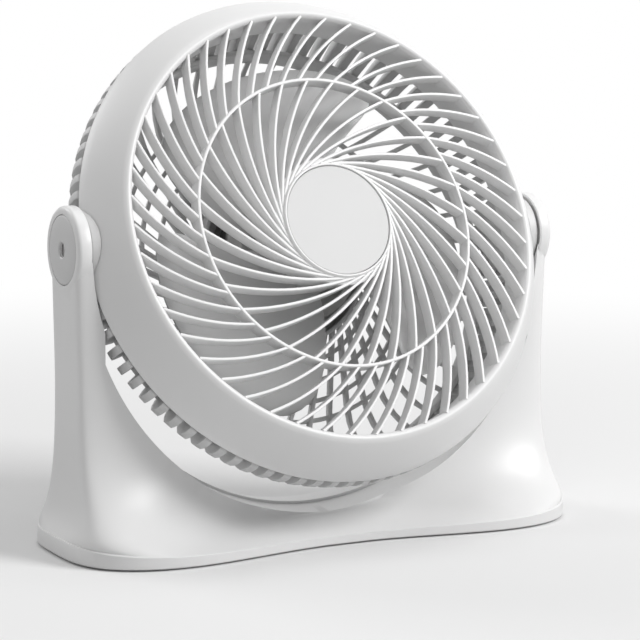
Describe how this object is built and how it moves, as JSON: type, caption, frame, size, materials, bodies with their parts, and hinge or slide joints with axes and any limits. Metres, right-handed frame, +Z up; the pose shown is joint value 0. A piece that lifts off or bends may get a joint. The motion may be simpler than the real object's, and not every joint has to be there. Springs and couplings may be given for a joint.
{
  "type": "air circulator fan",
  "caption": "Desk air circulator: a round fan head with spiral front grille, tilting between the two arms of a flared base.",
  "frame": {"origin": "on the floor under the rubber feet, midway between the two arms and below the tilt axis", "axes": "+Z up, +X towards the arm on the right as seen from the front, -Y the side towards which the fan blows"},
  "size_m": [0.307, 0.1615, 0.2929],
  "materials": {
    "white_plastic": "satin white moulded plastic with a fine spark texture",
    "cap_plastic": "satin white moulded plastic",
    "blade_plastic": "smooth light grey moulded plastic",
    "foot_rubber": "matt dark grey rubber",
    "screw_steel": "zinc-plated steel",
    "motor_steel": "drawn sheet steel",
    "lamination_iron": "stacked steel laminations",
    "winding_copper": "enamelled copper wire",
    "bearing_bronze": "sintered bronze",
    "dark_plastic": "dark moulded plastic",
    "washer_fibre": "pressed fibre"
  },
  "bodies": {
    "base": {"base_front_shell": "white_plastic", "base_rear_cover": "white_plastic", "rubber_foot_front_right": "foot_rubber", "rubber_foot_front_left": "foot_rubber", "rubber_foot_rear_right": "foot_rubber", "rubber_foot_rear_left": "foot_rubber", "base_screw_1": "screw_steel", "base_screw_2": "screw_steel", "base_screw_3": "screw_steel", "base_screw_4": "screw_steel", "pivot_cap_right": "cap_plastic", "pivot_cap_left": "cap_plastic"},
    "head": {"pivot_screw_right": "screw_steel", "pivot_screw_left": "screw_steel", "friction_washer_right": "washer_fibre", "friction_washer_left": "washer_fibre", "front_grille": "white_plastic", "hub_badge": "white_plastic", "rear_housing": "white_plastic", "grille_screw_1": "screw_steel", "grille_screw_2": "screw_steel", "grille_screw_3": "screw_steel", "grille_screw_4": "screw_steel", "motor_front_bell": "motor_steel", "motor_rear_bell": "motor_steel", "motor_stator": "lamination_iron", "motor_winding_front": "winding_copper", "motor_winding_rear": "winding_copper", "bearing_front": "bearing_bronze", "bearing_rear": "bearing_bronze", "motor_screw_1": "screw_steel", "motor_screw_2": "screw_steel", "motor_screw_3": "screw_steel", "motor_screw_4": "screw_steel", "motor_cover": "white_plastic", "cover_screw_1": "screw_steel", "cover_screw_2": "screw_steel", "speed_switch": "dark_plastic", "cord_inlet": "dark_plastic"},
    "fan": {"fan_blade": "blade_plastic", "blade_nut": "dark_plastic", "motor_shaft": "screw_steel", "motor_rotor": "lamination_iron"},
    "speed_knob": {"speed_knob": "cap_plastic"}
  },
  "joints": [
    {"name": "head_tilt", "type": "hinge", "parent": "base", "child": "head", "pos_m": [0, 0, 0.162], "axis": [-1, 0, 0], "range_deg": [-23.3, 66.7]},
    {"name": "fan_spin", "type": "hinge", "parent": "head", "child": "fan", "pos_m": [0, 0, 0.162], "axis": [0, -0.9184, 0.3955], "continuous": true},
    {"name": "knob_turn", "type": "hinge", "parent": "head", "child": "speed_knob", "pos_m": [0, 0, 0.162], "axis": [0, -0.9184, 0.3955], "range_deg": [0, 135]}
  ]
}
